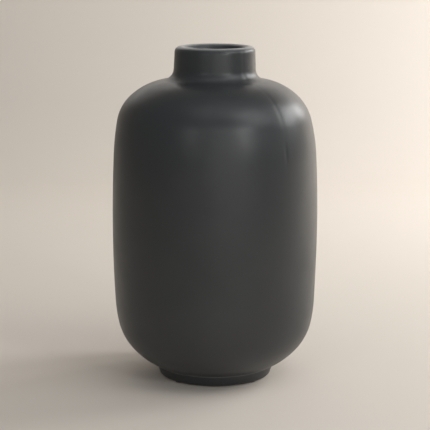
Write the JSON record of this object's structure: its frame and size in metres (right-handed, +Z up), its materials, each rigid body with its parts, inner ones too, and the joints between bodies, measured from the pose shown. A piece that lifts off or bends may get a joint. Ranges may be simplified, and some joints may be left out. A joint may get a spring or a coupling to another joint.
{
  "type": "bottle vase",
  "caption": "Free-standing ceramic bottle vase: straight barrel, round shoulder, short narrow neck with a rounded lip, tapered foot ring, matte charcoal glaze.",
  "frame": {"origin": "centre of the circle that the vase stands on, at the underside of the foot pads", "axes": "+Z up along the axis of the vase, -Y towards the front; the mould seam is 43 degrees from -Y towards +X"},
  "size_m": [0.1568, 0.1568, 0.254],
  "materials": {
    "clay": "unglazed stoneware, wiped",
    "charcoal_glaze": "satin matte",
    "liner_glaze": "soft gloss",
    "felt": "pressed felt"
  },
  "bodies": {
    "root": {"clay_body": "clay", "outer_glaze": "charcoal_glaze", "liner_glaze": "liner_glaze", "recess_glaze": "charcoal_glaze", "foot_pad_1": "felt", "foot_pad_2": "felt", "foot_pad_3": "felt", "foot_pad_4": "felt"}
  },
  "joints": []
}
